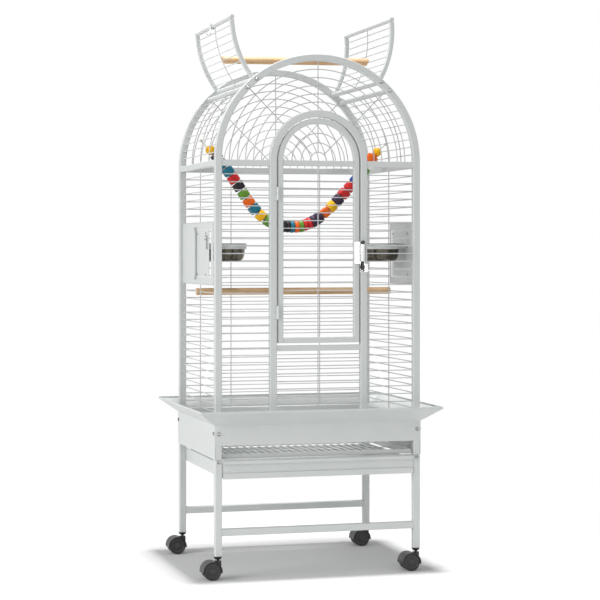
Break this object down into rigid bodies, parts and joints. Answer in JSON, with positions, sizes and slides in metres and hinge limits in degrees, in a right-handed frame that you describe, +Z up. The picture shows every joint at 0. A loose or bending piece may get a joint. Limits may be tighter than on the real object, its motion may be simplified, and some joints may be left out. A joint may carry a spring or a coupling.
{
  "type": "bird cage on stand",
  "caption": "Arched wire bird cage on a wheeled tube stand, with a front door, swing-out feeders, opening roof flaps, perches, hanging block toy, grate and pull-out tray.",
  "frame": {"origin": "on the floor under the middle of the cage", "axes": "+Z up, -Y towards the front where the door is, +X to the right seen from the front"},
  "size_m": [0.7264, 0.6114, 1.6315],
  "materials": {
    "powder_coat": "light silver-grey powder coat",
    "coated_wire": "powder-coated welded wire",
    "chrome": "bright plated steel",
    "stainless": "spun stainless steel",
    "pale_wood": "bare turned wood",
    "black_plastic": "black moulded plastic",
    "wheel_plastic": "black wheel plastic",
    "painted_wood": "wooden blocks in mixed bright paint",
    "cord": "twisted cotton cord",
    "clear_plastic": "clear plastic chain and cord knots"
  },
  "bodies": {
    "frame": {"legs": "powder_coat", "frame_bolts": "chrome", "lower_rails": "powder_coat", "apron_front": "powder_coat", "apron_back": "powder_coat", "side_aprons": "powder_coat", "tray_runners": "powder_coat", "seed_guard_front": "powder_coat", "seed_guard_back": "powder_coat", "seed_guard_left": "powder_coat", "seed_guard_right": "powder_coat", "corner_posts": "powder_coat", "cage_rails": "powder_coat", "front_arch": "powder_coat", "back_arch": "powder_coat", "door_jambs": "powder_coat", "front_wires": "coated_wire", "back_wires": "coated_wire", "side_wires": "coated_wire", "roof_cross_bars": "powder_coat", "roof_wires": "coated_wire", "lower_perch": "pale_wood", "hinge_barrels": "powder_coat", "latch_keeper": "chrome", "feeder_frame_left": "powder_coat", "feeder_frame_right": "powder_coat", "caster_sockets": "black_plastic", "toy_cord": "cord", "toy_blocks": "painted_wood", "toy_hangers": "clear_plastic"},
    "door": {"door_stiles": "powder_coat", "door_arch": "powder_coat", "door_rails": "powder_coat", "door_wires": "coated_wire", "door_knuckles": "powder_coat", "latch_body": "chrome"},
    "latch": {"latch_bolt": "black_plastic"},
    "feeder_left": {"feeder_door_left": "powder_coat"},
    "feeder_right": {"feeder_door_right": "powder_coat"},
    "knob_left": {"feeder_knob_left": "chrome"},
    "knob_right": {"feeder_knob_right": "chrome"},
    "feed_bowl_left": {"bowl_left": "stainless"},
    "feed_bowl_right": {"bowl_right": "stainless"},
    "roof_flap_left": {"flap_left": "powder_coat"},
    "roof_flap_right": {"flap_right": "powder_coat"},
    "hook": {"flap_hook": "chrome"},
    "perch_top": {"top_perch": "pale_wood"},
    "tray": {"tray": "powder_coat"},
    "grate": {"grate": "powder_coat"},
    "caster_front_left": {"caster_housing_front_left": "black_plastic"},
    "wheels_front_left": {"caster_wheels_front_left": "wheel_plastic"},
    "caster_front_right": {"caster_housing_front_right": "black_plastic"},
    "wheels_front_right": {"caster_wheels_front_right": "wheel_plastic"},
    "caster_back_left": {"caster_housing_back_left": "black_plastic"},
    "wheels_back_left": {"caster_wheels_back_left": "wheel_plastic"},
    "caster_back_right": {"caster_housing_back_right": "black_plastic"},
    "wheels_back_right": {"caster_wheels_back_right": "wheel_plastic"}
  },
  "joints": [
    {"name": "door_swing", "type": "hinge", "parent": "frame", "child": "door", "pos_m": [-0.125, -0.2575, 0.94], "axis": [0, 0, -1], "range_deg": [0, 150]},
    {"name": "latch_lift", "type": "slide", "parent": "door", "child": "latch", "axis": [0, 0, 1], "range_m": [0, 0.012]},
    {"name": "feeder_left_swing", "type": "hinge", "parent": "frame", "child": "feeder_left", "pos_m": [-0.30475, 0.039, 0.935], "axis": [0, 0, -1], "range_deg": [0, 110]},
    {"name": "feeder_right_swing", "type": "hinge", "parent": "frame", "child": "feeder_right", "pos_m": [0.30475, -0.21, 0.935], "axis": [0, 0, -1], "range_deg": [0, 110]},
    {"name": "knob_left_turn", "type": "hinge", "parent": "feeder_left", "child": "knob_left", "pos_m": [-0.303, -0.106, 0.98094], "axis": [-1, 0, 0], "range_deg": [0, 90]},
    {"name": "knob_right_turn", "type": "hinge", "parent": "feeder_right", "child": "knob_right", "pos_m": [0.303, -0.05, 0.98094], "axis": [1, 0, 0], "range_deg": [0, 90]},
    {"name": "bowl_left_lift", "type": "slide", "parent": "feeder_left", "child": "feed_bowl_left", "axis": [0, 0, 1], "range_m": [0, 0.06]},
    {"name": "bowl_right_lift", "type": "slide", "parent": "feeder_right", "child": "feed_bowl_right", "axis": [0, 0, 1], "range_m": [0, 0.06]},
    {"name": "flap_left_open", "type": "hinge", "parent": "frame", "child": "roof_flap_left", "pos_m": [-0.1888, 0, 1.43814], "axis": [0, -1, 0], "range_deg": [0, 60]},
    {"name": "flap_right_open", "type": "hinge", "parent": "frame", "child": "roof_flap_right", "pos_m": [0.1888, 0, 1.43814], "axis": [0, 1, 0], "range_deg": [0, 60]},
    {"name": "hook_turn", "type": "hinge", "parent": "roof_flap_left", "child": "hook", "pos_m": [-0.2555, 0.012, 1.61752], "axis": [0, 1, 0], "range_deg": [0, 90]},
    {"name": "top_perch_lift", "type": "slide", "parent": "frame", "child": "perch_top", "axis": [0, 0, 1], "range_m": [0, 0.075]},
    {"name": "tray_slide", "type": "slide", "parent": "frame", "child": "tray", "axis": [0, -1, 0], "range_m": [0, 0.4]},
    {"name": "grate_slide", "type": "slide", "parent": "frame", "child": "grate", "axis": [0, -1, 0], "range_m": [0, 0.4]},
    {"name": "caster_swivel_front_left", "type": "hinge", "parent": "frame", "child": "caster_front_left", "pos_m": [-0.3, -0.2425, 0.05], "axis": [0, 0, 1], "continuous": true},
    {"name": "wheels_roll_front_left", "type": "hinge", "parent": "caster_front_left", "child": "wheels_front_left", "pos_m": [-0.32, -0.2425, 0.025], "axis": [0, 1, 0], "continuous": true},
    {"name": "caster_swivel_front_right", "type": "hinge", "parent": "frame", "child": "caster_front_right", "pos_m": [0.3, -0.2425, 0.05], "axis": [0, 0, 1], "continuous": true},
    {"name": "wheels_roll_front_right", "type": "hinge", "parent": "caster_front_right", "child": "wheels_front_right", "pos_m": [0.28, -0.2425, 0.025], "axis": [0, 1, 0], "continuous": true},
    {"name": "caster_swivel_back_left", "type": "hinge", "parent": "frame", "child": "caster_back_left", "pos_m": [-0.3, 0.2425, 0.05], "axis": [0, 0, 1], "continuous": true},
    {"name": "wheels_roll_back_left", "type": "hinge", "parent": "caster_back_left", "child": "wheels_back_left", "pos_m": [-0.32, 0.2425, 0.025], "axis": [0, 1, 0], "continuous": true},
    {"name": "caster_swivel_back_right", "type": "hinge", "parent": "frame", "child": "caster_back_right", "pos_m": [0.3, 0.2425, 0.05], "axis": [0, 0, 1], "continuous": true},
    {"name": "wheels_roll_back_right", "type": "hinge", "parent": "caster_back_right", "child": "wheels_back_right", "pos_m": [0.28, 0.2425, 0.025], "axis": [0, 1, 0], "continuous": true}
  ]
}
